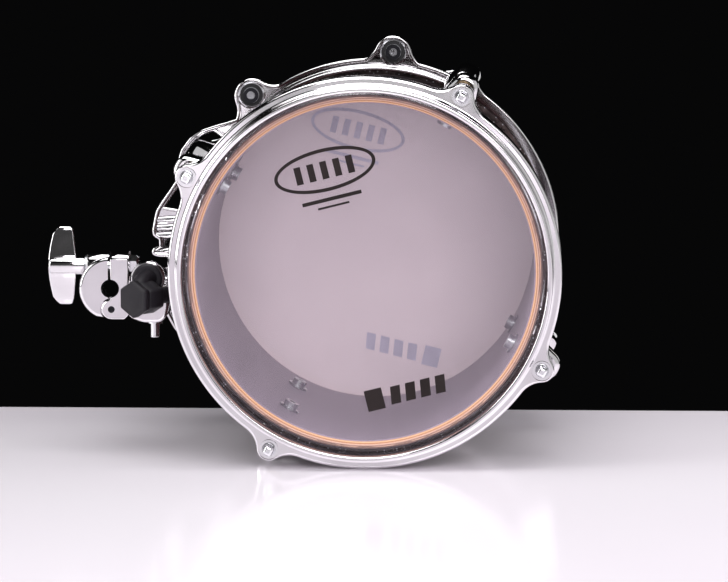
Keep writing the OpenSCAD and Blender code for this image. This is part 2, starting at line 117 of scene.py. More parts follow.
rod = joint_at("rod_front_1_turn")
ROD_CIRCLE = math.hypot(rod.x, rod.z)
ROD_ANGLE = math.degrees(math.atan2(rod.z, rod.x))
RIM_Y = span("hoop_front")[0].y
HOOP_END = span("hoop_front")[1].y
MOUNT_Y0, MOUNT_Y1 = (corner.y for corner in span("mount_bar"))
JAW_Y0, JAW_Y1 = (corner.y for corner in span("fixed_jaw"))
JAW_MID = (JAW_Y0 + JAW_Y1) / 2
bore = from_frame(frame["record"]["mounts"][0]["pos_m"])
pin = joint_at("jaw_open")
bolt = joint_at("wing_nut_turn")
FACE_X = span("clamp_washer")[1].x + 0.05
STOP_X = span("fixed_jaw")[1].x
WING_X = span("wing_nut")[1].x
boss_low, boss_high = span("isolator_disc")
boss = (boss_low + boss_high) / 2

# ---------- materials ----------

# Where one finish on the shell gives way to the next, in metres from the axis or from an end.
PLY_SPLIT = (0.0968, 0.0972)
# The next pair is where a dark brown band of painted shade on the outer bevel begins.
SHADED_BEVEL_BAND = (0.0985, 0.0989)
LACQUERED = (0.0997, 0.09985)
BEVEL_DEPTH = (0.0025, 0.0028)
FLECK_SCALE = 420


class Nodes:
    """A small helper for building one material's node tree."""

    def __init__(self, name):
        self.mat = bpy.data.materials.new(name)
        self.mat.use_nodes = True
        self.tree = self.mat.node_tree
        self.shader = self.tree.nodes["Principled BSDF"]
        self.coords = self.add("ShaderNodeTexCoord").outputs["Object"]

    def add(self, kind, **values):
        """A new node with its properties set."""
        node = self.tree.nodes.new(kind)
        for name, value in values.items():
            setattr(node, name, value)
        return node

    def link(self, output, target):
        self.tree.links.new(output, target)

    def set(self, **values):
        """Sets constants on the shader's sockets, with _ for a space in a socket's name."""
        for name, value in values.items():
            self.shader.inputs[name.replace("_", " ")].default_value = value

    def noise(self, scale, detail=3.0, rough=0.55, stretch=(1, 1, 1)):
        """Cloudy noise, longer along an axis whose stretch is small."""
        mapping = self.add("ShaderNodeMapping")
        mapping.inputs["Scale"].default_value = stretch
        self.link(self.coords, mapping.inputs["Vector"])
        noise = self.add("ShaderNodeTexNoise")
        noise.inputs["Scale"].default_value = scale
        noise.inputs["Detail"].default_value = detail
        noise.inputs["Roughness"].default_value = rough
        self.link(mapping.outputs["Vector"], noise.inputs["Vector"])
        return noise.outputs["Fac"]

    def specks(self, scale):
        """The distance from scattered points, for flecks."""
        cells = self.add("ShaderNodeTexVoronoi")
        cells.inputs["Scale"].default_value = scale
        self.link(self.coords, cells.inputs["Vector"])
        return cells.outputs["Distance"]

    def maths(self, kind, a, b):
        node = self.add("ShaderNodeMath", operation=kind)
        for socket, value in zip(node.inputs, (a, b)):
            if isinstance(value, (int, float)):
                socket.default_value = value
            else:
                self.link(value, socket)
        return node.outputs[0]

    def mix(self, mask, a, b):
        """Colour a where the mask is 0 and colour b where it is 1."""
        node = self.add("ShaderNodeMix", data_type="RGBA")
        self.link(mask, node.inputs["Factor"])
        self.link(a, node.inputs[6])
        self.link(b, node.inputs[7])
        return node.outputs[2]

    def spread(self, value, low, high, to_low, to_high):
        """Maps one range of a value to another, and clamps it."""
        node = self.add("ShaderNodeMapRange")
        ends = (("From Min", low), ("From Max", high), ("To Min", to_low), ("To Max", to_high))
        for name, number in ends:
            node.inputs[name].default_value = number
        self.link(value, node.inputs["Value"])
        return node.outputs["Result"]

    def ramp(self, value, stops):
        """Turns a value into a colour by (position, colour) stops."""
        node = self.add("ShaderNodeValToRGB")
        elements = node.color_ramp.elements
        while len(elements) < len(stops):
            elements.new(0.5)
        for element, (at, colour) in zip(elements, stops):
            element.position = at
            element.color = (*colour, 1)
        self.link(value, node.inputs["Fac"])
        return node.outputs["Color"]

    def bump(self, height, strength, distance):
        """Adds a bump on top of any that the material has already."""
        node = self.add("ShaderNodeBump")
        node.inputs["Strength"].default_value = strength
        node.inputs["Distance"].default_value = distance
        self.link(height, node.inputs["Height"])
        previous = self.shader.inputs["Normal"].links
        if previous:
            self.link(previous[0].from_socket, node.inputs["Normal"])
        self.link(node.outputs["Normal"], self.shader.inputs["Normal"])


def metal(name, colour, rough, smudge=0.05, waviness=0.02, scratch=0.02, dull=0.85):
    """Plated or turned metal: smudges change the gloss, and stains dull the colour a little."""
    m = Nodes(name)
    m.set(Metallic=1.0)
    stain = m.noise(14, 5, 0.65)
    tone = m.ramp(stain, [(0.35, [c * dull for c in colour]), (0.62, colour)])
    m.link(tone, m.shader.inputs["Base Color"])
    m.link(m.spread(m.noise(55, 4), 0.35, 0.75, rough, rough + smudge), m.shader.inputs["Roughness"])
    m.bump(m.noise(60, 1), waviness, 0.0005)
    m.bump(m.noise(900, 2, stretch=(1, 0.2, 1)), scratch, 0.0001)
    return m.mat


def wood_shell():
    """Dark lacquer outside, a grey wall inside darkened as painted shade, and bare, ply-lined maple at the
    bearing edges with a brown band of painted shade at their outer edge.
    """
    m = Nodes("shell_maple_lacquer")
    split = m.add("ShaderNodeSeparateXYZ")
    m.link(m.coords, split.inputs[0])
    dx = m.maths("SUBTRACT", split.outputs["X"], AXIS_X)
    dz = m.maths("SUBTRACT", split.outputs["Z"], AXIS_Z)
    square = m.maths("ADD", m.maths("MULTIPLY", dx, dx), m.maths("MULTIPLY", dz, dz))
    radius = m.maths("SQRT", square, 0)
    near = m.maths("SUBTRACT", split.outputs["Y"], FRONT_Y)
    far = m.maths("SUBTRACT", REAR_Y, split.outputs["Y"])
    depth = m.maths("MINIMUM", near, far)
    grain = m.noise(60, 5, 0.6, stretch=(1, 0.12, 1))
    # Painted shade: the wall inside is a dark lavender grey that stands for maple in the shell's shadow.
    wall = m.ramp(grain, [(0.3, (0.175, 0.136, 0.182)), (0.7, (0.228, 0.180, 0.236))])
    across = m.add("ShaderNodeCombineXYZ")
    m.link(radius, across.inputs[0])
    ply = m.add("ShaderNodeTexWave", wave_type="BANDS", bands_direction="X")
    m.link(across.outputs[0], ply.inputs["Vector"])
    ply.inputs["Scale"].default_value = 260
    ply.inputs["Distortion"].default_value = 0.0
    inner = m.ramp(ply.outputs["Fac"], [(0.2, (0.36, 0.145, 0.045)), (0.65, (0.58, 0.33, 0.17))])
    outermost = m.ramp(ply.outputs["Fac"], [(0.2, (0.22, 0.11, 0.075)), (0.65, (0.48, 0.29, 0.22))])
    maple = m.mix(m.spread(radius, *PLY_SPLIT, 0, 1), inner, outermost)
    # Painted shade: a dark brown band on the bearing edge's outer bevel, where shade falls.
    bevel_shade_brown = m.ramp(grain, [(0.3, (0.06, 0.03, 0.025)), (0.7, (0.13, 0.065, 0.05))])
    lacquer = m.ramp(m.noise(9, 4), [(0.3, (0.020, 0.006, 0.008)), (0.7, (0.050, 0.010, 0.012))])
    bevel = m.spread(depth, *BEVEL_DEPTH, 1, 0)
    bevel_shade_mask = m.spread(radius, *SHADED_BEVEL_BAND, 0, 1)
    outer = m.spread(radius, *LACQUERED, 0, 1)
    colour = m.mix(bevel, wall, m.mix(bevel_shade_mask, maple, bevel_shade_brown))
    m.link(m.mix(outer, colour, lacquer), m.shader.inputs["Base Color"])
    m.link(m.spread(outer, 0, 1, 0.42, 0.09), m.shader.inputs["Roughness"])
    m.set(Specular_IOR_Level=0.3)
    m.bump(grain, 0.08, 0.0003)
    return m.mat


def film(name, haze, colour):
    """Thin plastic film: mostly clear, with a slight milky bloom, rub marks and a glossy face."""
    m = Nodes(name)
    m.set(IOR=1.55)
    cloud = m.noise(6, 4, 0.6)
    rub = m.noise(160, 3, 0.6, stretch=(1, 1, 0.2))
    tone = m.ramp(cloud, [(0.3, [c * 0.92 for c in colour]), (0.7, colour)])
    m.link(tone, m.shader.inputs["Base Color"])
    m.link(m.spread(cloud, 0.25, 0.75, haze * 0.9, haze * 1.08), m.shader.inputs["Alpha"])
    m.link(m.spread(rub, 0.3, 0.8, 0.10, 0.20), m.shader.inputs["Roughness"])
    m.bump(m.noise(8, 2), 0.05, 0.001)
    return m.mat


def moulded(name, colour, rough, grain, depth, gloss):
    """Moulded plastic, rubber or print: fine texture, slight bloom and paler rubbed spots."""
    m = Nodes(name)
    m.set(Specular_IOR_Level=gloss)
    bloom = m.noise(40, 4, 0.65)
    tone = m.ramp(bloom, [(0.3, colour), (0.75, [min(1, c * 1.5 + 0.003) for c in colour])])
    m.link(tone, m.shader.inputs["Base Color"])
    m.link(m.spread(bloom, 0.3, 0.8, rough, rough + 0.18), m.shader.inputs["Roughness"])
    m.bump(m.noise(grain, 3), depth, 0.0002)
    return m.mat


def grimy_alloy():
    """The flesh hoop's dark, dusty aluminium, with small bright flecks."""
    m = Nodes("grimy_alloy")
    m.set(Metallic=0.9)
    dust = m.ramp(m.noise(120, 4), [(0.35, (0.042, 0.032, 0.032)), (0.7, (0.125, 0.095, 0.092))])
    fleck = m.spread(m.specks(FLECK_SCALE), 0.16, 0.24, 1, 0)
    bright = m.ramp(m.noise(3, 1), [(0.2, (0.38, 0.38, 0.42)), (0.8, (0.62, 0.62, 0.66))])
    m.link(m.mix(fleck, dust, bright), m.shader.inputs["Base Color"])
    m.link(m.spread(m.noise(200, 3), 0.3, 0.8, 0.25, 0.55), m.shader.inputs["Roughness"])
    m.bump(m.specks(FLECK_SCALE), 0.4, 0.0004)
    return m.mat


CHROME = (0.80, 0.78, 0.80)
MATERIALS = {
    "shell": wood_shell(),
    "chrome": metal("chrome_casting", CHROME, 0.05, 0.05, 0.012, 0.015),
    "chrome_bar": metal("chrome_mount", CHROME, 0.06, 0.07, 0.05, 0.02, 0.7),
    "clamp": metal("chrome_clamp", CHROME, 0.06, 0.07, 0.03, 0.02, 0.85),
    # Painted shade: a dark metal for the hinge pin and the stud rings, standing for the shade in the pin's
    # hole and in the studs' grooves.
    "painted_shade_dark": metal("black_painted_shade", (0.03, 0.03, 0.035), 0.45, 0.1, 0.02, 0.02),
    "rod": metal("plated_rod", (0.82, 0.82, 0.84), 0.10, 0.10, 0.04, 0.05),
    "steel": metal("zinc_steel", (0.62, 0.63, 0.66), 0.24, 0.14, 0.05, 0.08),
    "hoop_alloy": grimy_alloy(),
    "brass": metal("turned_brass", (0.70, 0.55, 0.30), 0.22, 0.12, 0.05, 0.08),
    "badge": metal("satin_badge", (0.55, 0.55, 0.58), 0.28, 0.1, 0.03, 0.2),
    "film_front": film("film_front", 0.035, (0.90, 0.80, 0.92)),
    "film_rear": film("film_rear", 0.62, (0.80, 0.67, 0.72)),
    "black": moulded("satin_nylon", (0.007, 0.006, 0.008), 0.4, 500, 0.08, 0.25),
    "rubber": moulded("black_rubber", (0.010, 0.010, 0.011), 0.6, 700, 0.2, 0.3),
    "ink": moulded("dark_print", (0.009, 0.006, 0.006), 0.5, 900, 0.05, 0.15),
    # Painted haze light: a lighter copy of the dark print, standing for how the print looks through the
    # milky rear film.
    "haze_lit_ink": moulded("print_painted_haze", (0.25, 0.23, 0.30), 0.5, 900, 0.05, 0.2),
}

# ---------- mesh tools ----------

FLAT = 0.99999


def new_object(name, data):
    """A new object in the scene for a mesh, a curve, a light or a camera."""
    obj = bpy.data.objects.new(name, data)
    bpy.context.scene.collection.objects.link(obj)
    return obj


def cleaned(mesh):
    """Joins a mesh's doubled points and turns its faces outward."""
    bm = bmesh.new()
    bm.from_mesh(mesh)
    bmesh.ops.remove_doubles(bm, verts=bm.verts, dist=1e-6)
    bmesh.ops.dissolve_degenerate(bm, dist=1e-7, edges=bm.edges)
    bmesh.ops.recalc_face_normals(bm, faces=bm.faces)
    bm.to_mesh(mesh)
    bm.free()
    return mesh


def mesh_object(name, verts, faces):
    """A closed mesh from points in millimetres about the front bearing edge's centre."""
    mesh = bpy.data.meshes.new(name)
    mesh.from_pydata([on_drum(*v) for v in verts], [], faces)
    return new_object(name, cleaned(mesh))


def final_mesh(obj):
    """A mesh of an object as it is with its modifiers, or with its curve turned into faces."""
    graph = bpy.context.evaluated_depsgraph_get()
    return bpy.data.meshes.new_from_object(obj.evaluated_get(graph))


def boolean(obj, tools, operation):
    """Joins or cuts an object with others, which are used up."""
    for tool in tools:
        step = obj.modifiers.new("step", "BOOLEAN")
        step.operation = operation
        step.solver = "EXACT"
        step.object = tool
    mesh = final_mesh(obj)
    obj.modifiers.clear()
    obj.data = mesh
    for tool in tools:
        bpy.data.objects.remove(tool)
    return obj


def joined(name, objects):
    """One object made of several, left as separate shells."""
    bm = bmesh.new()
    for obj in objects:
        bm.from_mesh(obj.data)
        bpy.data.objects.remove(obj)
    mesh = bpy.data.meshes.new(name)
    bm.to_mesh(mesh)
    bm.free()
    return new_object(name, mesh)


def piece(obj, node, key, sharp=32):
    """Finishes a piece that stands for a CAD node: shading, material, body and node.
    Faces square to the drum's axis are shaded flat, so that their rounded edges do not bend them."""
    mesh = obj.data
    mesh.set_sharp_from_angle(angle=math.radians(sharp))
    for face in mesh.polygons:
        face.use_smooth = abs(face.normal.y) < FLAT
    mesh.materials.clear()
    mesh.materials.append(MATERIALS[key])
    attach(obj, nodes[node]["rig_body"])
    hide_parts(node)
    return obj


def arc(centre, radius, start, end, steps=12):
    """Points round an arc, with its ends."""
    turns = [math.radians(start + (end - start) * i / steps) for i in range(steps + 1)]
    return [(centre[0] + radius * math.cos(t), centre[1] + radius * math.sin(t)) for t in turns]


def ring(centre, radius, steps=48):
    """Points all the way round a circle."""
    return arc(centre, radius, 0, 360, steps)[:-1]


def smoothed(points, radius, steps=4):
    """An outline with each corner rounded by up to radius millimetres."""
    out = []
    count = len(points)
    for i in range(count):
        a, b, c = Vector(points[i - 1]), Vector(points[i]), Vector(points[(i + 1) % count])
        back, on = a - b, c - b
        reach = min(radius, back.length * 0.45, on.length * 0.45)
        p, q = b + back.normalized() * reach, b + on.normalized() * reach
        for s in range(steps + 1):
            t = s / steps
            out.append(tuple(p * (1 - t) ** 2 + b * 2 * t * (1 - t) + q * t * t))
    return out


def plate(name, contours, y0, y1, edge, steps=3):
    """A plate between two Y positions, from an outline and holes in X and Z, with rounded edges."""
    curve = bpy.data.curves.new(name, "CURVE")
    curve.dimensions = "2D"
    curve.fill_mode = "BOTH"
    curve.extrude = ((y1 - y0) / 2 - edge) * MM
    curve.bevel_depth = edge * MM
    curve.bevel_resolution = steps
    curve.offset = -edge * MM
    for contour in contours:
        spline = curve.splines.new("POLY")
        spline.points.add(len(contour) - 1)
        for point, (x, z) in zip(spline.points, contour):
            point.co = (x * MM, z * MM, 0, 1)
        spline.use_cyclic_u = True
    holder = new_object(name, curve)
    mesh = final_mesh(holder)
    bpy.data.objects.remove(holder)
    place = Matrix.Translation(on_drum(0, (y0 + y1) / 2, 0))
    mesh.transform(place @ Matrix.Rotation(math.pi / 2, 4, "X"))
    return new_object(name, cleaned(mesh))


def tube(name, points, radius, closed=False, steps=4):
    """A round bar along points in millimetres. The radius is one number, or one for each point."""
    curve = bpy.data.curves.new(name, "CURVE")
    curve.dimensions = "3D"
    curve.bevel_depth = MM
    curve.bevel_resolution = steps
    curve.use_fill_caps = not closed
    spline = curve.splines.new("POLY")
    spline.points.add(len(points) - 1)
    radii = radius if isinstance(radius, (list, tuple)) else [radius] * len(points)
    for point, at, size in zip(spline.points, points, radii):
        point.co = (*on_drum(*at), 1)
        point.radius = size
    spline.use_cyclic_u = closed
    holder = new_object(name, curve)
    mesh = final_mesh(holder)
    bpy.data.objects.remove(holder)
    return new_object(name, cleaned(mesh))


def wrapped_faces(columns, count, closed=True):
    """The faces between columns of count points each, all the way round."""
    faces = []
    for i in range(columns):
        a, b = i * count, (i + 1) % columns * count
        for k in range(count if closed else count - 1):
            n = (k + 1) % count
            faces.append((a + k, a + n, b + n, b + k))
    return faces


def lathe(name, profile, origin, axis, steps=48):
    """Turns a profile of (radius, distance) points about an axis through a point in millimetres.
    The profile starts and ends on the axis, or closes on itself."""
    axis = Vector(axis).normalized()
    side = axis.orthogonal().normalized()
    up = axis.cross(side)
    origin = Vector(origin)
    verts = []
    for i in range(steps):
        t = 2 * math.pi * i / steps
        out = side * math.cos(t) + up * math.sin(t)
        verts += [tuple(origin + out * r + axis * d) for r, d in profile]
    return mesh_object(name, verts, wrapped_faces(steps, len(profile), profile[0][0] > 0))


def loft(name, sections):
    """A closed solid through sections with the same number of points, capped at both ends."""
    count = len(sections[0])
    verts = [p for section in sections for p in section]
    faces = [tuple(range(count)), tuple(range(len(verts) - count, len(verts)))]
    for s in range(len(sections) - 1):
        for k in range(count):
            n = (k + 1) % count
            faces.append((s * count + k, s * count + n, (s + 1) * count + n, (s + 1) * count + k))
    return mesh_object(name, verts, faces)


def inset_outline(points, depth):
    """A convex outline, anticlockwise in X and Z, moved in by depth millimetres."""
    out = []
    count = len(points)
    for i in range(count):
        a, b, c = Vector(points[i - 1]), Vector(points[i]), Vector(points[(i + 1) % count])
        first, second = (b - a).normalized(), (c - b).normalized()
        way = Vector((-first.y - second.y, first.x + second.x)) / 2
        out.append(tuple(b + way * depth / max(way.length_squared, 0.3)))
    return out


def slab(name, outline, y0, y1, edge, steps=5):
    """A convex plate between two Y positions with rounded edges front and back."""
    turns = [math.pi / 2 * k / steps for k in range(steps + 1)]
    front = [(y0 + edge * (1 - math.sin(t)), edge * (1 - math.cos(t))) for t in reversed(turns)]
    rows = front + [(y1 - (y - y0), depth) for y, depth in reversed(front)]
    return loft(name, [[(x, y, z) for x, z in inset_outline(outline, depth)] for y, depth in rows])


def turned_to(obj, angle):
    """Turns an object about the drum's axis by an angle seen from the front, anticlockwise."""
    centre = Matrix.Translation((AXIS_X, 0, AXIS_Z))
    obj.data.transform(centre @ Matrix.Rotation(-math.radians(angle), 4, "Y") @ centre.inverted())
    return obj


def to_rear(obj):
    """Mirrors an object from the front end of the shell to the rear."""
    middle = (FRONT_Y + REAR_Y) / 2
    mirror = Matrix.Translation((0, middle, 0)) @ Matrix.Scale(-1, 4, (0, 1, 0))
    obj.data.transform(mirror @ Matrix.Translation((0, -middle, 0)))
    cleaned(obj.data)
    return obj


def copied(obj, name):
    """A copy of an object with its own mesh."""
    return new_object(name, obj.data.copy())


def prism(name, outline, y0, y1):
    """A plain closed prism between two Y positions, used for cutting."""
    return loft(name, [[(x, y, z) for x, z in outline] for y in (y0, y1)])


# ---------- outlines round the drum ----------


def ear_radius(turn, distance, radius, base, blend):
    """How far out an ear with concave blends reaches, at an angle from its own middle."""
    far, near = base + blend, radius + blend
    fx = (distance**2 + far**2 - near**2) / (2 * distance)
    fz = math.sqrt(far**2 - fx**2)
    touch_x = distance + radius * (fx - distance) / near
    touch_z = radius * fz / near
    turn = abs((turn + 180) % 360 - 180)
    if turn >= math.degrees(math.atan2(fz, fx)):
        return base
    t = math.radians(turn)
    if turn <= math.degrees(math.atan2(touch_z, touch_x)):
        return distance * math.cos(t) + math.sqrt(radius**2 - (distance * math.sin(t)) ** 2)
    along = fx * math.cos(t) + fz * math.sin(t)
    across = fx * math.sin(t) - fz * math.cos(t)
    return along - math.sqrt(max(0, blend**2 - across**2))


def polar(radius, turn):
    """X and Z at a radius and an angle in degrees, anticlockwise seen from the front."""
    return (radius * math.cos(math.radians(turn)), radius * math.sin(math.radians(turn)))


# ---------- hoops ----------

RIM_R = SHELL_R + 2
HOOP_R = SHELL_R + 10.5
POCKET_R = SHELL_R + 4.9
EAR_Y = RIM_Y + 10.2
EAR_R = 6.9
EAR_BLEND = 15
SEAT_R = 6
HOLE_R = 3.35
FLESH_Y = 2.6
HOOP_COLUMNS = 1080
MOUNT_CIRCLE = SHELL_R + 15.7
MOUNT_EARS = (84.5, 129.5)
MOUNT_EAR_R = 8.4
STUD_HOLE_R = 2.5
ROD_TURNS = [ROD_ANGLE + 90 * k for k in range(4)]


def hoop_section(out):
    """The hoop's section as (radius, Y) points, from the pocket round the rim to the outer edge."""
    points = [(RIM_R, FLESH_Y)]
    points += arc((RIM_R + 1.1, RIM_Y + 1.1), 1.1, 180, 270, 5)
    points += arc((RIM_R + 2.1, RIM_Y + 1.1), 1.1, 270, 360, 5)
    points += arc((RIM_R + 4.8, EAR_Y - 1.5), 1.5, 180, 90, 6)
    points += arc((out - 1.6, EAR_Y + 1.6), 1.6, 270, 360, 6)
    points += arc((out - 0.9, HOOP_END - 0.9), 0.9, 0, 90, 3)
    points += [(POCKET_R, HOOP_END), (POCKET_R, FLESH_Y)]
    return points


def cast_hoop(name, mount_ears=()):
    """A die-cast hoop with an ear for each rod, and on the rear one two more for the mount."""
    verts = []
    for i in range(HOOP_COLUMNS):
        turn = 360 * i / HOOP_COLUMNS
        out = max(ear_radius(turn - a, ROD_CIRCLE, EAR_R, HOOP_R, EAR_BLEND) for a in ROD_TURNS)
        for a in mount_ears:
            out = max(out, ear_radius(turn - a, MOUNT_CIRCLE, MOUNT_EAR_R, HOOP_R, EAR_BLEND))
        section = hoop_section(out)
        for r, y in section:
            x, z = polar(r, turn)
            verts.append((x, y, z))
    hoop = mesh_object(name, verts, wrapped_faces(HOOP_COLUMNS, len(section)))
    seat = arc((ROD_CIRCLE, 0), SEAT_R, -154, 154, 40)
    rod_hole = ring((ROD_CIRCLE, 0), HOLE_R)
    stud_hole = ring((MOUNT_CIRCLE, 0), STUD_HOLE_R)
    seats, holes = [], []
    for turn in ROD_TURNS:
        seats.append(turned_to(prism("seat", seat, EAR_Y - 4, EAR_Y + 1.2), turn))
        holes.append(turned_to(prism("hole", rod_hole, EAR_Y - 4, HOOP_END + 3), turn))
    for turn in mount_ears:
        holes.append(turned_to(prism("hole", stud_hole, EAR_Y - 3, HOOP_END + 3), turn))
    boolean(hoop, [joined("seats", seats)], "DIFFERENCE")
    return boolean(hoop, [joined("holes", holes)], "DIFFERENCE")


piece(cast_hoop("hoop_front_casting"), "hoop_front", "chrome", 35)
piece(to_rear(cast_hoop("hoop_rear_casting", MOUNT_EARS)), "hoop_rear", "chrome", 35)

# ---------- lugs and tension rods ----------

LUG_Y0, LUG_Y1 = (corner.y for corner in span("lug_front_1"))
# Each row is the distance from the nose, the height above the shell and half the width.
LUG_ROWS = [
    (0, 20.6, 7.6), (0.4, 22.1, 8.6), (1.2, 23.1, 9.3), (2.4, 23.5, 9.8), (8, 23.5, 10),
    (17, 23.5, 10), (20, 22.6, 9.9), (23, 20.4, 9.7), (26, 17.2, 9.4), (29, 13.2, 8.9),
    (31.5, 9.4, 8.2), (33, 6.6, 7.4), (33.7, 4.6, 6.6), (LUG_Y1 - LUG_Y0, 3.2, 5.8),
]
GASKET = 0.7
LUG_WAIST = 0.42
LUG_TOP = 0.62
# Each row of the rod's square drive is the distance from the ear, half the width and the corner.
DRIVE_ROWS = [(1.2, 2.5, 0.9), (6.3, 2.5, 0.9), (6.9, 2.35, 1.0), (7.3, 1.95, 1.2), (7.5, 1.3, 0.9)]


def cast_lug():
    """A lug on the right of the shell: a rounded nose, a straight back and a tapering tail."""
    sections = []
    for y, height, half in LUG_ROWS:
        top = SHELL_R + height
        foot = math.sqrt((SHELL_R + GASKET) ** 2 - half**2)
        waist = SHELL_R + height * LUG_WAIST
        lower = [(foot, -half), (waist, -half), (top, -half * LUG_TOP)]
        outline = lower + [(x, -z) for x, z in reversed(lower)]
        sections.append([(x, LUG_Y0 + y, z) for x, z in smoothed(outline, 5.5, 6)])
    body = loft("lug", sections)
    mouth = prism("mouth", ring((ROD_CIRCLE, 0), 4.8), LUG_Y0 - 2, LUG_Y0 + 16)
    return boolean(body, [mouth], "DIFFERENCE")


def plated_rod():
    """A tension rod on the right: shaft, rolled flange and a square drive with rounded corners."""
    base = EAR_Y - 0.05
    tip = LUG_Y0 + 13
    shaft = [(0, tip), (2.3, tip), (2.75, LUG_Y0 + 12.3), (2.75, base), (3.5, base), (3.8, base - 0.35)]
    shaft += arc((2.9, base - 0.75), 0.9, 0, 60, 4)
    shaft += [(2.2, base - 1.75), (0, base - 1.75)]
    turned = lathe("rod_shaft", shaft, (ROD_CIRCLE, 0, 0), (0, 1, 0), 40)
    sections = []
    for back, half, corner in DRIVE_ROWS:
        square = [(-half, -half), (half, -half), (half, half), (-half, half)]
        outline = smoothed(square, corner, 4)
        sections.append([(ROD_CIRCLE + x, base - back, z) for x, z in outline])
    return joined("rod", [turned, loft("rod_drive", sections)])


lug = cast_lug()
tension_rod = plated_rod()
for k, turn in enumerate(ROD_TURNS, 1):
    for shape, label, key in ((lug, "lug", "chrome"), (tension_rod, "rod", "rod")):
        for end in ("front", "rear"):
            obj = turned_to(copied(shape, f"{label}_{end}_{k}_cast"), turn)
            if end == "rear":
                to_rear(obj)
            piece(obj, f"{label}_{end}_{k}", key, 40)
bpy.data.objects.remove(lug)
bpy.data.objects.remove(tension_rod)

# ---------- suspension mount ----------

MOUNT_START = 65.7
MOUNT_END = 216
# The outer edge as (angle, height above the shell), and the windows as angles from and to.
EDGE = [
    (64, 11.8), (138, 11.8), (141, 15.5), (144, 20), (147, 24.8), (150, 27.6), (154, 29),
    (157.5, 28), (161.7, 24.6), (165.5, 27.2), (169, 30.4), (171.5, 32.7), (176.5, 33.8),
    (177.6, 33.4), (178.6, 29.6), (180.6, 29.4), (181.6, 33.6), (182.6, 34.1), (183.2, 29),
    (183.8, 12.5), (186.2, 12.5), (187.4, 32.2), (198, 32.6), (203, 31), (208, 27.5),
    (212, 21.5), (215, 15.5), (218, 11.8),
]
WINDOWS = ((144.5, 158.5), (161.5, 170.5), (198.5, 209.5))
STRAND = 4
WEB_IN_R = SHELL_R + 4.2
WINDOW_IN_R = SHELL_R + 9.5
RAIL_R = SHELL_R + 6.6
EAR_OUT_R = 9.9
EAR_FOOT_R = SHELL_R + 11.2
LIP_R = 1.3
RIB_Y = MOUNT_Y0 + 2.2
COLLAR = [(4.95, 12), (4.95, 3.4), (6.9, 3.2), (7.1, 1.2), (7.7, 0.7), (8.3, 1.2), (8.5, 3.4), (8.5, 12)]


def edge_radius(turn):
    """The mount's outer radius at an angle, with its two ears."""
    for (a0, r0), (a1, r1) in zip(EDGE, EDGE[1:]):
        if a0 <= turn <= a1:
            t = (turn - a0) / (a1 - a0)
            break
    out = SHELL_R + r0 + (r1 - r0) * t
    for ear in MOUNT_EARS:
        out = max(out, ear_radius(turn - ear, MOUNT_CIRCLE, EAR_OUT_R, EAR_FOOT_R, 14))
    return out


def along(a0, a1, steps):
    """Evenly spaced angles, with both ends."""
    return [a0 + (a1 - a0) * i / steps for i in range(steps + 1)]


def mount_contours(inset):
    """The mount's outline and windows, moved into the metal by inset millimetres."""
    start, end = MOUNT_START + inset * 0.5, MOUNT_END - inset * 0.5
    outer = [polar(edge_radius(a) - inset, a) for a in along(start, end, 420)]
    inner = [polar(WEB_IN_R + inset, a) for a in along(end, start, 160)]
    contours = [smoothed(outer + inner, 0.8, 1)]
    for a0, a1 in WINDOWS:
        top = [polar(edge_radius(a) - STRAND + inset, a) for a in along(a0, a1, 24)]
        foot = [polar(WINDOW_IN_R - inset, a) for a in along(a1, a0, 24)]
        contours.append(smoothed(top + foot, 1.5, 2))
    return contours


def mount_casting():
    """The curved mount: a web with a raised lip round its edge, a round inner rail, ears and ribs."""
    parts = [plate("web", mount_contours(0.4), MOUNT_Y0 + 2.6, MOUNT_Y1, 0.7)]
    outline, *windows = mount_contours(LIP_R)
    lip_y = MOUNT_Y0 + 1.35
    parts.append(tube("lip", [(x, lip_y, z) for x, z in outline], LIP_R, True))
    parts.append(tube("lip_back", [(x, lip_y + 1.6, z) for x, z in outline], LIP_R, True))
    for window in windows:
        parts.append(tube("window_lip", [(x, lip_y + 0.9, z) for x, z in window], 1.0, True))
    rail = [polar(RAIL_R, a) for a in along(MOUNT_START + 1.2, MOUNT_END - 1.2, 200)]
    parts.append(tube("rail", [(x, MOUNT_Y0 + 3.0, z) for x, z in rail], 2.3))
    for ear in MOUNT_EARS:
        x, z = polar(MOUNT_CIRCLE, ear)
        parts.append(lathe("collar", COLLAR, (x, MOUNT_Y0, z), (0, 1, 0), 56))
    for z in (4.8, 9.5, 14.3):
        reach = 1.2 if z == 9.5 else 0
        parts.append(tube("rib", [(-131.5 + reach, RIB_Y, z), (-115, RIB_Y, z + 1)], 1.9))
    parts.append(tube("rib", [(-132, RIB_Y, -5.6), (-123, RIB_Y, -4.0)], 1.5))
    return joined("mount_bar_casting", parts)


piece(mount_casting(), "mount_bar", "chrome_bar", 40)

# ---------- rod clamp ----------

SLIT = 0.7
BORE_R = 5.25
BARREL_R = 8.2
BARREL_RIM = 0.5
JAW_R = 17.8
JAW_TOP = 17.7
JAW_ROUND = 1.7
KNUCKLE_R = 6.5
EYE_R = 5.3
BARREL_TOP = bolt.z + BARREL_R
FACE_TOP = bore.z + 17.2
JAW_BOTTOM = span("fixed_jaw")[0].z
GAP_L = bore.x - 0.5 - SLIT
GAP_R = bore.x - 0.5 + SLIT


def barrel(x0, x1):
    """The barrel that the bolt runs through, with softened rims."""
    end, chamfer = BARREL_R - BARREL_RIM, BARREL_R - 0.15
    profile = [(0, x0), (end, x0), (chamfer, x0 + 0.2), (BARREL_R, x0 + BARREL_RIM)]
    profile += [(BARREL_R, x1 - BARREL_RIM), (chamfer, x1 - 0.2), (end, x1), (0, x1)]
    return lathe("barrel", profile, (0, JAW_MID, bolt.z), (1, 0, 0), 56)


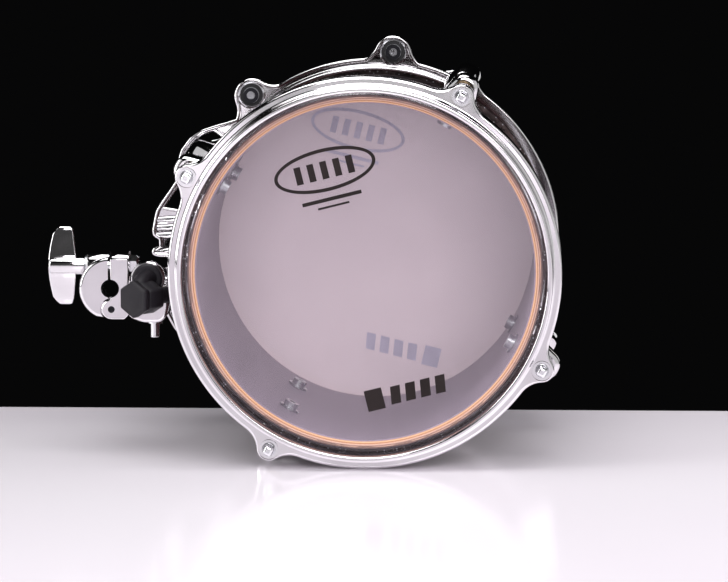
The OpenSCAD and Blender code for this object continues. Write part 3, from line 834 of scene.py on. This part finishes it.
def block(x0, x1, y0, y1, z0, z1):
    """A box between two positions on each axis."""
    return prism("block", [(x0, z0), (x1, z0), (x1, z1), (x0, z1)], y0, y1)


def rod_along_x(radius, x0, x1, z):
    """A plain cylinder along X through the middle of the jaws, used for cutting."""
    profile = [(0, x0), (radius, x0), (radius, x1), (0, x1)]
    return lathe("bar", profile, (0, JAW_MID, z), (1, 0, 0), 40)


def disc_tool(radius, spare, at):
    """A plain cylinder along Y at a joint or bore, longer at both ends than the jaws by spare."""
    return prism("disc", ring((at.x, at.z), radius, 64), JAW_Y0 - spare, JAW_Y1 + spare)


def cast_hinged_jaw():
    """The jaw that swings on the pin: a round casting with a barrel, a slot for the bolt, half the
    bore, a hollow for the fixed jaw's knuckle, and an eye that sits between the knuckle's halves."""
    seam = GAP_L + 3
    outline = [(seam, bore.z + JAW_TOP)]
    outline += [(bore.x + x, bore.z + z) for x, z in (polar(JAW_R, turn) for turn in range(90, 244, 3))]
    outline += [(seam, JAW_BOTTOM)]
    jaw = slab("hinged_jaw_cast", outline, JAW_Y0, JAW_Y1, JAW_ROUND)
    boolean(jaw, [barrel(FACE_X, seam)], "UNION")
    cuts = [
        block(GAP_L, GAP_L + 12, JAW_Y0 - 2, JAW_Y1 + 2, bore.z - 3, BARREL_TOP + 3),
        block(GAP_L, GAP_L + 12, JAW_Y0 - 3, JAW_Y1 + 3, JAW_BOTTOM - 3, bore.z - 2),
        disc_tool(KNUCKLE_R, 2.5, pin),
        block(bore.x - 5.8, bore.x + 12, JAW_Y0 - 1, JAW_Y1 + 1, JAW_BOTTOM - 5, JAW_BOTTOM + 0.4),
        disc_tool(BORE_R, 1.5, bore),
        rod_along_x(6.5, FACE_X - 6, FACE_X, bolt.z),
        rod_along_x(3.3, FACE_X - 1, GAP_L + 4, bolt.z),
        rod_along_x(3.3, FACE_X - 2, GAP_L + 5, bolt.z + 2.4),
    ]
    for cut in cuts:
        boolean(jaw, [cut], "DIFFERENCE")
    rim = [(2.03, -EYE_R), (4.6, -EYE_R), (EYE_R, -4.6), (EYE_R, 4.6), (4.6, EYE_R), (2.03, EYE_R)]
    middle = lathe("eye", rim, (pin.x, JAW_MID, pin.z), (0, 1, 0), 48)
    web = block(bore.x - 8, pin.x - 4.2, JAW_MID - EYE_R, JAW_MID + EYE_R, pin.z - 3.5, pin.z + 3.5)
    return joined("hinged_jaw_casting", [jaw, middle, web])


def cast_fixed_jaw():
    """The jaw on the arm: a flat-sided casting with a barrel, half the bore and a split knuckle."""
    outline = [
        (GAP_R, pin.z), (GAP_R, FACE_TOP - 0.5), (GAP_R + 0.5, FACE_TOP), (STOP_X - 1, FACE_TOP),
        (STOP_X, FACE_TOP - 1), (STOP_X, JAW_BOTTOM + 2.4), (STOP_X - 2.4, JAW_BOTTOM),
        (pin.x, JAW_BOTTOM), (pin.x - 0.5, JAW_BOTTOM + 3),
    ]
    jaw = plate("fixed_jaw_cast", [outline], JAW_Y0, JAW_Y1, 0.45)
    length = JAW_Y1 - JAW_Y0
    knuckle = [(0, 0), (5.1, 0), (5.5, 0.25), (5.6, 0.6), (5.6, length - 0.6), (5.1, length), (0, length)]
    boolean(jaw, [lathe("eye", knuckle, (pin.x, JAW_Y0, pin.z), (0, 1, 0), 56)], "UNION")
    boolean(jaw, [barrel(GAP_R, STOP_X)], "UNION")
    gap = ring((pin.x, pin.z), 5.8, 64)
    cuts = [
        disc_tool(BORE_R, 1.5, bore),
        disc_tool(1.97, 2, pin),
        prism("disc", gap, JAW_MID - 5.5, JAW_MID + 5.5),
        rod_along_x(3.2, GAP_R - 2, STOP_X + 2, bolt.z),
    ]
    for cut in cuts:
        boolean(jaw, [cut], "DIFFERENCE")
    jaw.name = "fixed_jaw_casting"
    return jaw


WING_HALF = (span("wing_nut")[1].z - span("wing_nut")[0].z) / 2
WING_HUB = [(3.08, 0), (4.7, 0), (5.2, -0.4), (5.3, -1), (5.3, -19.6), (5.0, -20.5), (4.4, -21), (3.08, -21)]
# Each row is the distance from the bolt's axis, the outer and inner ends along it, and the thickness.
BLADE_ROWS = [
    (3.3, -21.2, -5.0, 6.6), (4.4, -21.2, -5.2, 5.6), (7, -21.0, -5.4, 4.9), (12, -20.2, -6.0, 4.2),
    (WING_HALF - 4.5, -18.9, -6.7, 3.5), (WING_HALF - 2.4, -17.4, -6.95, 3.3),
    (WING_HALF - 1, -15.9, -7.4, 3.0), (WING_HALF - 0.3, -15.2, -8.0, 2.4), (WING_HALF, -14.6, -8.8, 1.4),
]


def cast_wing_nut():
    """A wing nut whose blades are thick at the hub and thin at their rounded tips."""
    parts = [lathe("hub", WING_HUB, (WING_X, JAW_MID, bolt.z), (1, 0, 0), 56)]
    for side in (1, -1):
        sections = []
        for z, x0, x1, thick in BLADE_ROWS:
            x0, x1, t = WING_X + x0, WING_X + x1, thick / 2
            corners = [(x0, -t), (x1, -t), (x1, t), (x0, t)]
            shape = smoothed(corners, min(0.9, t), 3)
            sections.append([(x, JAW_MID + y, bolt.z + side * z) for x, y in shape])
        parts.append(loft("blade", sections))
    return joined("wing_nut_casting", parts)


piece(cast_hinged_jaw(), "hinged_jaw", "clamp", 35)
piece(cast_fixed_jaw(), "fixed_jaw", "clamp", 35)
piece(cast_wing_nut(), "wing_nut", "clamp", 35)

# ---------- bracket arm and isolator ----------


def cast_arm():
    """The arm between the clamp and the mount, with the boss that carries the isolator."""
    y0 = JAW_Y0 + 1
    foot = [
        (STOP_X, -17), (STOP_X, -30.4), (STOP_X + 2, -32), (-129, -34.3), (-119, -34.3),
        (-115.5, -31), (-114, -24), (-116, -14), (-128, -12),
    ]
    web = [
        (-129, -17), (-129, -29), (-127, -31.5), (-118, -31.5),
        (-115.5, -29), (-115.5, -17), (-118, -14.5), (-127, -14.5),
    ]
    rim = [(0, 0), (8.9, 0), (9.5, 0.25), (9.7, 0.8), (9.7, 5.2), (9.2, 6), (0, 6)]
    return joined("bracket_arm_casting", [
        plate("foot", [smoothed(foot, 2.2, 4)], y0, y0 + 28, 1.6, 4),
        plate("web", [smoothed(web, 3, 5)], y0 + 20, MOUNT_Y0, 1.2),
        lathe("boss", rim, (boss.x, y0, boss.z), (0, 1, 0), 64),
    ])


piece(cast_arm(), "bracket_arm", "clamp", 35)

# The middle of the knob's face, its axis's angle to the right of straight back, and its rows.
KNOB = Vector((-132.6, 20, -17.9))
KNOB_TURN = math.radians(36)
KNOB_AXIS = Vector((math.sin(KNOB_TURN), math.cos(KNOB_TURN), 0))
KNOB_SIDE = Vector((math.cos(KNOB_TURN), -math.sin(KNOB_TURN), 0))
# Each row is the distance back from the face, the radius to a corner and the corner's rounding.
KNOB_ROWS = [
    (0.25, 7.2, 0.5), (0, 9.4, 0.6), (0.1, 10.1, 0.8), (0.5, 10.6, 1.0), (1.1, 10.9, 1.1),
    (3.9, 10.9, 1.1), (4.4, 10.5, 1.4), (4.45, 8.4, 4), (6.35, 8.4, 4), (6.4, 9.0, 1.6),
    (6.9, 9.5, 1.1), (17.6, 9.5, 1.1), (18.3, 9.0, 1.5), (18.4, 7.4, 2.0),
]


def moulded_knob():
    """A hexagonal cap and a smaller hexagonal body, with a round groove between them."""
    sections = []
    for back, radius, corner in KNOB_ROWS:
        middle = KNOB + KNOB_AXIS * back
        shape = smoothed([polar(radius, 90 + 60 * k) for k in range(6)], corner, 5)
        sections.append([tuple(middle + KNOB_SIDE * a + Vector((0, 0, b))) for a, b in shape])
    return loft("hex_knob_moulding", sections)


piece(moulded_knob(), "hex_knob", "black", 50)
neck = [
    (boss.x + 0.2, boss_low.y + 0.6, boss.z + 0.6),
    (boss.x - 0.4, 38, boss.z + 1.2),
    (boss.x - 1.6, 34, boss.z + 0.4),
    (boss.x - 2.8, 30.5, boss.z - 2.2),
    (boss.x - 3.6, 28.4, boss.z - 5.2),
]
neck_radii = [5.6, 4.6, 4.4, 4.9, 5.6]
piece(tube("isolator_neck_moulding", neck, neck_radii, False, 8), "isolator_neck", "black", 50)

# ---------- CAD nodes that keep their own shape ----------

PLAIN = {
    "shell": "shell", "head_front": "film_front", "head_rear": "film_rear",
    "flesh_hoop_front": "hoop_alloy", "flesh_hoop_rear": "hoop_alloy",
    "vent_grommet": "chrome", "badge_plate": "badge", "lug_gaskets": "rubber",
    "lug_screws": "steel", "lug_washers": "steel", "swivel_nuts": "brass", "rod_washers": "rod",
    "mount_grommets": "rubber", "mount_studs": "steel", "mount_nuts": "steel",
    "arm_screws": "steel", "isolator_disc": "black", "cone_bush": "black",
    # The hinge pin is dark as painted shade for the hollow of its hole.
    "bracket_stud": "rod", "hinge_pin": "painted_shade_dark", "clamp_bolt": "rod", "clamp_washer": "steel",
}
for name, key in PLAIN.items():
    nodes[name].data.materials.clear()
    nodes[name].data.materials.append(MATERIALS[key])

# ---------- painted shade of grooves in the mount's stud heads: flat dark rings ---

stud_face = span("mount_studs")[0].y
# Painted shade: each groove is a flat dark ring laid on the stud's face, not a cut.
shade_ring_shape = [(2.5, -0.05), (4.5, -0.05), (4.5, 0.1), (2.5, 0.1)]
for number, ear in enumerate(MOUNT_EARS, 1):
    x, z = polar(MOUNT_CIRCLE, ear)
    painted_groove_shade = lathe(f"stud_groove_{number}", shade_ring_shape, (x, stud_face, z), (0, 1, 0), 40)
    painted_groove_shade.data.materials.append(MATERIALS["painted_shade_dark"])
    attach(painted_groove_shade, nodes["mount_studs"]["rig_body"])

# ---------- plain printed marks on the heads ----------

PRINT_TURN = math.radians(14)
PRINT_HALF = 0.03
PRINT_LIFT = 0.06
GHOST_DEPTH = 0.40


def bar(x0, x1, z0, z1, lean=0.0):
    """A bar's four corners, with its upper end moved right by lean."""
    return [(x0, z0), (x1, z0), (x1 + lean, z1), (x0 + lean, z1)]


def oval(width, height, steps=60):
    """Points round an ellipse."""
    turns = [2 * math.pi * i / steps for i in range(steps)]
    return [(width / 2 * math.cos(t), height / 2 * math.sin(t)) for t in turns]


def upper_mark():
    """An oval frame holding five bars, with two fine lines under it."""
    shapes = [[oval(58, 24), oval(54, 20)]]
    for k in range(5):
        shapes.append([bar(-17 + 7.4 * k, -13.2 + 7.4 * k, -5, 5)])
    shapes.append([bar(-17, 17, -17.5, -15.4)])
    shapes.append([bar(-9, 9, -21.2, -20)])
    return shapes


def lower_mark():
    """A square block and four leaning bars."""
    shapes = [[bar(-23.5, -13.5, -6, 6)]]
    for k in range(4):
        shapes.append([bar(-10 + 8.6 * k, -4.4 + 8.6 * k, -5, 5, 1.5)])
    return shapes


def printed(name, shapes, centre, y, key, node, flip=1):
    """Lays flat shapes on a head as one thin print. Flip is -1 on the rear head, which faces back."""
    cos, sin = math.cos(PRINT_TURN), math.sin(PRINT_TURN)

    def placed(x, z):
        return centre[0] + flip * (x * cos - z * sin), centre[1] + x * sin + z * cos

    layers = []
    for contours in shapes:
        outlines = [[placed(x, z) for x, z in contour] for contour in contours]
        layers.append(plate("layer", outlines, y - PRINT_HALF, y + PRINT_HALF, 0.0))
    obj = joined(name, layers)
    obj.data.materials.append(MATERIALS[key])
    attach(obj, nodes[node]["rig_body"])


front_film = span("head_front")[0].y
rear_film = span("head_rear")[1].y
marks = (
    ("upper", upper_mark(), (-22.3, 57.9), (-11, 66.6)),
    ("lower", lower_mark(), (23.6, -66.9), (15.6, -66.4)),
)
for name, shapes, centre, _ in marks:
    printed(f"print_front_{name}", shapes, centre, front_film - PRINT_LIFT, "ink", "head_front")
for name, shapes, _, centre in marks:
    # The inside copy is painted light: the print lightened as it looks through the rear film's haze.
    inside = rear_film - GHOST_DEPTH
    printed(f"print_rear_{name}", shapes, centre, rear_film + PRINT_LIFT, "ink", "head_rear", -1)
    printed(f"print_rear_{name}_inside", shapes, centre, inside, "haze_lit_ink", "head_rear", -1)

# ---------- stage ----------

# The floor's edges in metres: to each side of the drum, towards the camera and behind it.
FLOOR_SIDE = 1.8
FLOOR_FRONT = 2.8
FLOOR_BACK = 0.226


def panel(name, low, high, z, mat):
    """A flat sheet of the stage between two corners in X and Y, in metres."""
    mesh = bpy.data.meshes.new(name)
    corners = [(low[0], low[1], z), (high[0], low[1], z), (high[0], high[1], z), (low[0], high[1], z)]
    mesh.from_pydata(corners, [], [(0, 1, 2, 3)])
    obj = new_object(name, mesh)
    mesh.materials.append(mat)


floor = Nodes("pale_floor")
floor_tone = floor.ramp(floor.noise(2, 2), [(0.3, (0.86, 0.80, 0.87)), (0.7, (0.90, 0.86, 0.91))])
floor.link(floor_tone, floor.shader.inputs["Base Color"])
floor.set(Roughness=0.13, IOR=1.45)
near_left = (AXIS_X - FLOOR_SIDE, FRONT_Y - FLOOR_FRONT)
far_right = (AXIS_X + FLOOR_SIDE, FRONT_Y + FLOOR_BACK)
panel("floor", near_left, far_right, FLOOR_Z, floor.mat)

world = bpy.data.worlds.new("studio")
bpy.context.scene.world = world
bpy.context.scene.view_settings.view_transform = "Standard"
world.use_nodes = True
world.node_tree.nodes["Background"].inputs["Color"].default_value = (0.0021, 0.0021, 0.0022, 1)


def softbox(name, at, aim, size, power, colour=(1, 1, 1), mirrored=True):
    """A rectangular area light that the camera does not see: its size in metres, its power in
    watts, and whether chrome and other glossy surfaces mirror it."""
    light = bpy.data.lights.new(name, "AREA")
    light.shape = "RECTANGLE"
    light.size, light.size_y = size
    light.energy = power
    light.color = colour
    obj = new_object(name, light)
    obj.location = at
    obj.rotation_euler = (aim - at).to_track_quat("-Z", "Y").to_euler()
    obj.visible_glossy = mirrored
    obj.visible_camera = False


SOFT_WHITE = (1.0, 0.97, 1.0)
middle = on_drum(0, 60, 0)
low_wall = on_drum(0, -300, 100)
softbox("key", on_drum(300, -1900, 1100), middle, (1.4, 0.9), 24, SOFT_WHITE)
softbox("front", on_drum(150, -2500, 300), middle, (1.6, 0.8), 35, SOFT_WHITE, mirrored=False)
softbox("floor_fill", on_drum(300, -1900, 1300), on_drum(300, -1500, 0), (3.2, 1.4), 13, mirrored=False)
floor_spot = on_drum(320, 80, -140)
softbox("floor_right", on_drum(620, 60, 280), floor_spot, (0.4, 0.4), 1.9, mirrored=False)
softbox("top", on_drum(-100, -350, 1300), on_drum(0, -100, 0), (1.2, 1.0), 17)
softbox("left", on_drum(-1500, -700, 500), middle, (0.5, 1.2), 11)
softbox("right_wall", on_drum(1300, -800, 500), low_wall, (2.4, 1.6), 8)
softbox("left_wall", on_drum(-1700, -600, 700), low_wall, (2.4, 1.6), 8)
softbox("low_card", on_drum(0, -3000, -50), on_drum(0, 0, -50), (3.2, 0.12), 0.85)
softbox("room", on_drum(0, -3300, 900), on_drum(0, 0, 900), (4.0, 1.7), 1.1)
softbox("rim", on_drum(760, 1100, 110), middle, (0.7, 0.25), 0.5)

# ---------- camera ----------

LOOK_DOWN = 6.75
LOOK_LEFT = 2.22

camera = bpy.data.cameras.new("camera")
camera.sensor_width = 36
camera.lens = 193.4
eye = new_object("camera", camera)
eye.location = on_drum(83.8, -2172.4, 247.3)
eye.rotation_euler = Euler((math.radians(90 - LOOK_DOWN), 0, math.radians(LOOK_LEFT)))
bpy.context.scene.camera = eye
